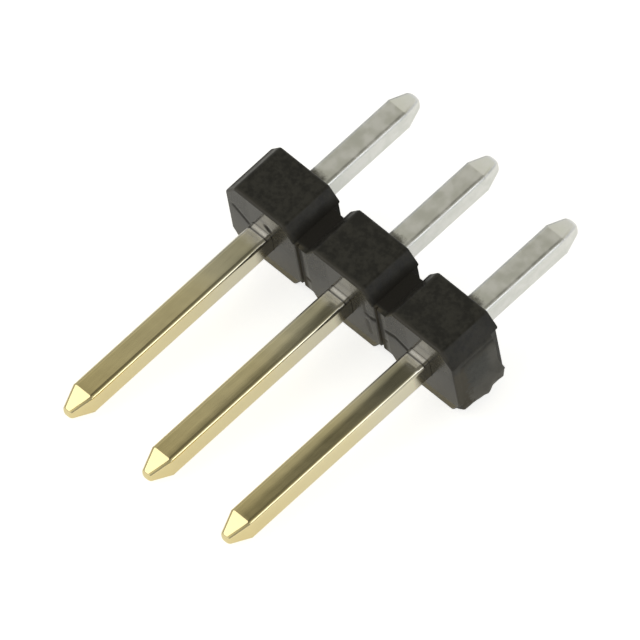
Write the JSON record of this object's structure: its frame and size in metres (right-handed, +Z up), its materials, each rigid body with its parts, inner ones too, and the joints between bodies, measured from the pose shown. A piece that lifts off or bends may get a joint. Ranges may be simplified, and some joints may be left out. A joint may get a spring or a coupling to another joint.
{
  "type": "male pin header",
  "caption": "Straight single-row breakaway pin header: square pins, gold-plated contact ends and tinned solder tails, held in a black moulded strip of bevelled blocks.",
  "frame": {"origin": "centre of the bounding box at the surface that the header lies on", "axes": "+X along the row towards the torn web, +Y along the pins towards the solder tails (the pins rise 8.6 degrees that way), +Z up"},
  "size_m": [0.0076, 0.0112, 0.0026],
  "materials": {
    "insulator": "black glass-filled thermoplastic, semi-gloss, with a rough torn web at one end",
    "contact": "brass wire, gold plated over the contact end and bright tin over the solder tail"
  },
  "bodies": {
    "root": {"insulator": "insulator", "pin_1": "contact", "pin_2": "contact", "pin_3": "contact"}
  },
  "joints": []
}
